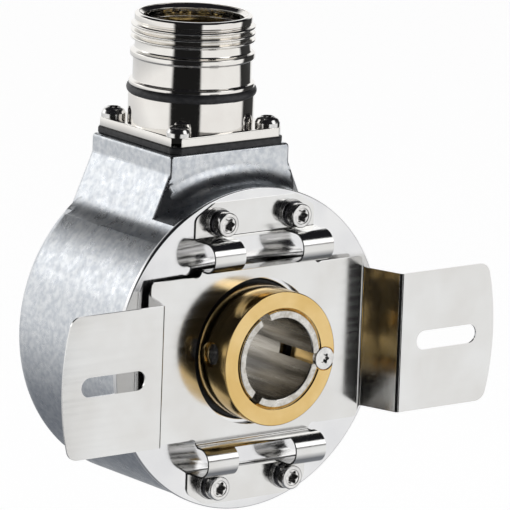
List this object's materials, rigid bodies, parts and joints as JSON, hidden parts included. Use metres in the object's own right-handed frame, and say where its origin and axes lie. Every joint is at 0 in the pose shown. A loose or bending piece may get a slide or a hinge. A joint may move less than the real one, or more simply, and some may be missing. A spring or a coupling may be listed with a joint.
{
  "type": "rotary encoder",
  "caption": "Hollow-shaft rotary encoder with clamp ring, sheet stator coupling and radial round connector.",
  "frame": {"origin": "on the shaft axis, in the plane of the flange's front face", "axes": "-Y along the shaft axis towards the drive side, +Z towards the connector, +X to the right seen from the drive side"},
  "size_m": [0.098, 0.0434, 0.089],
  "materials": {
    "cast_aluminium": "rough",
    "polished_steel": "polished",
    "coupling_sheet": "satin",
    "nickel_plate": "polished",
    "shaft_steel": "satin",
    "gold_ring": "satin",
    "screw_steel": "polished",
    "dark_steel": "satin",
    "black_rubber": "matte",
    "bearing_steel": "polished",
    "cage_brass": "satin",
    "disc_glass": "polished",
    "black_plastic": "matte",
    "clear_plastic": "gloss",
    "board_green": "gloss",
    "ribbon_grey": "matte",
    "cream_plastic": "matte",
    "insert_brown": "matte",
    "contact_gold": "polished"
  },
  "bodies": {
    "stator": {"housing": "cast_aluminium", "housing_screws": "screw_steel", "housing_o_ring": "black_rubber", "rear_shaft_seal": "black_rubber", "flange": "polished_steel", "front_shaft_seal": "black_rubber", "front_outer_race": "bearing_steel", "rear_outer_race": "bearing_steel", "bearing_spacer": "bearing_steel", "bearing_retaining_ring": "dark_steel", "emitter_holder": "black_plastic", "emitter": "clear_plastic", "scanning_mask": "disc_glass", "sensor_chip": "black_plastic", "main_board": "board_green", "board_parts": "black_plastic", "board_posts": "nickel_plate", "board_screws": "screw_steel", "ribbon_plug": "cream_plastic", "signal_ribbon": "ribbon_grey", "contact_board": "board_green", "connector_gasket": "black_rubber", "connector_shell": "nickel_plate", "connector_o_ring": "black_rubber", "contact_insert": "insert_brown", "contact_pins": "contact_gold", "connector_screws": "screw_steel", "stator_coupling": "coupling_sheet", "coupling_washers": "screw_steel", "coupling_lock_washers": "dark_steel", "coupling_screws": "screw_steel"},
    "rotor": {"hollow_shaft": "shaft_steel", "clamp_ring": "gold_ring", "clamp_screw": "screw_steel", "ring_lock_screw": "screw_steel", "front_inner_race": "bearing_steel", "rear_inner_race": "bearing_steel", "disc_hub": "polished_steel", "code_disc": "disc_glass"},
    "front_ball_group": {"front_balls": "bearing_steel", "front_ball_cage": "cage_brass"},
    "rear_ball_group": {"rear_balls": "bearing_steel", "rear_ball_cage": "cage_brass"}
  },
  "joints": [
    {"name": "shaft_spin", "type": "hinge", "parent": "stator", "child": "rotor", "pos_m": [0, 0, 0], "axis": [0, -1, 0], "continuous": true},
    {"name": "front_ball_spin", "type": "hinge", "parent": "stator", "child": "front_ball_group", "pos_m": [0, 0.0075, 0], "axis": [0, -1, 0], "continuous": true},
    {"name": "rear_ball_spin", "type": "hinge", "parent": "stator", "child": "rear_ball_group", "pos_m": [0, 0.0165, 0], "axis": [0, -1, 0], "continuous": true}
  ],
  "couplings": [
    {"joint": "front_ball_spin", "follows": "shaft_spin", "ratio": 0.4327},
    {"joint": "rear_ball_spin", "follows": "shaft_spin", "ratio": 0.4327}
  ]
}
